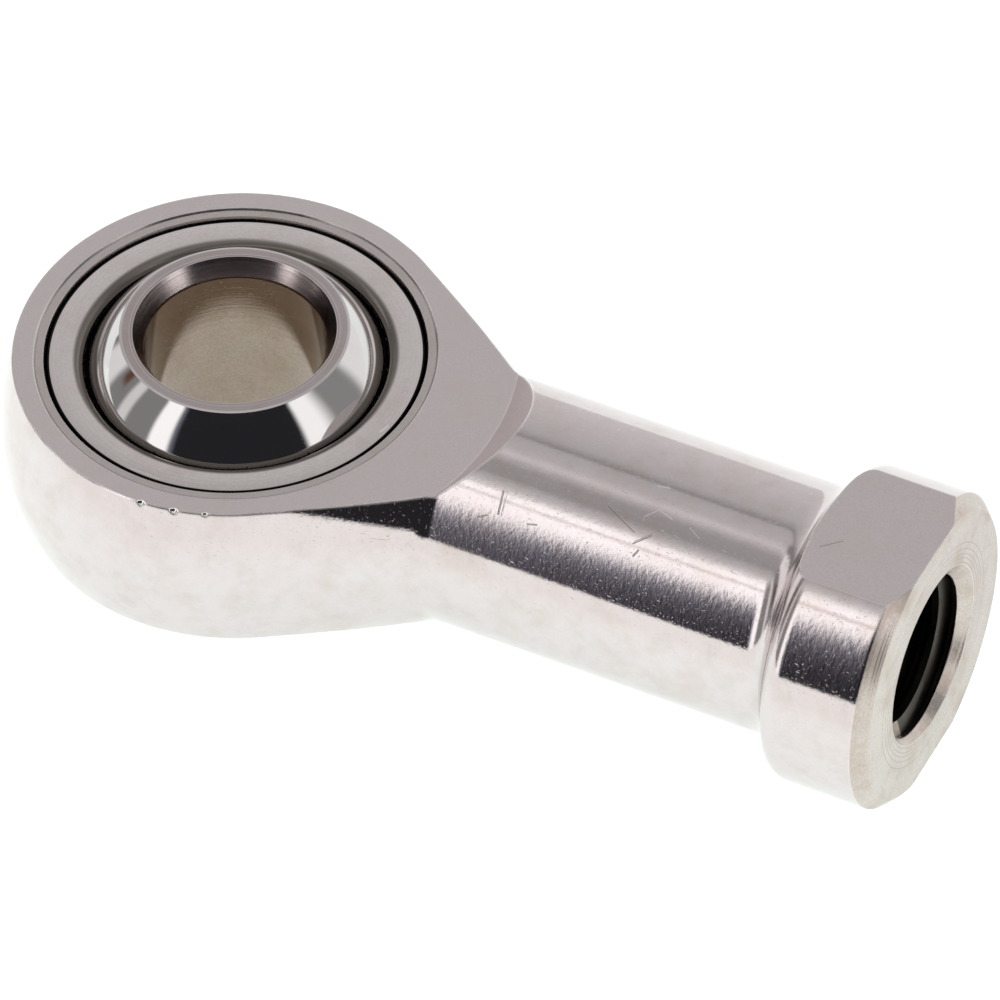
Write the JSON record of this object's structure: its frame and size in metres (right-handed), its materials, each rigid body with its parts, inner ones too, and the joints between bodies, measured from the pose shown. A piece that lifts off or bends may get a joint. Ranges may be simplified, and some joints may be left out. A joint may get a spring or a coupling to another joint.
{
  "type": "rod end bearing",
  "caption": "Female rod end bearing: an eye with a tilting, turning ball and a plain bore, on a threaded round shank with wrench flats.",
  "frame": {"origin": "centre of the bounding box, on the shank's axis, 17.325 mm from the ball's centre towards the threaded end", "axes": "+X along the shank towards its threaded end, +Z along the bore of the ball, +Y across the eye"},
  "size_m": [0.0664, 0.0316, 0.0188],
  "materials": {
    "nickel_steel": "bright nickel plate with fine handling scratches, milled flats satin",
    "race_steel": "fine-turned steel, satin",
    "liner": "matt black woven fabric with a ragged cut edge",
    "ball_steel": "mirror-polished bearing steel, fine-turned end faces"
  },
  "bodies": {
    "housing": {"rod_end_body": "nickel_steel", "outer_race": "race_steel"},
    "liner": {"ptfe_liner": "liner"},
    "ball": {"ball": "ball_steel"}
  },
  "joints": [
    {"name": "ball_spin", "type": "hinge", "parent": "housing", "child": "liner", "pos_m": [-0.01733, 0, 0], "axis": [0, 0, 1], "continuous": true},
    {"name": "ball_tilt", "type": "hinge", "parent": "liner", "child": "ball", "pos_m": [-0.01733, 0, 0], "axis": [0, 1, 0], "range_deg": [-13, 13]}
  ]
}
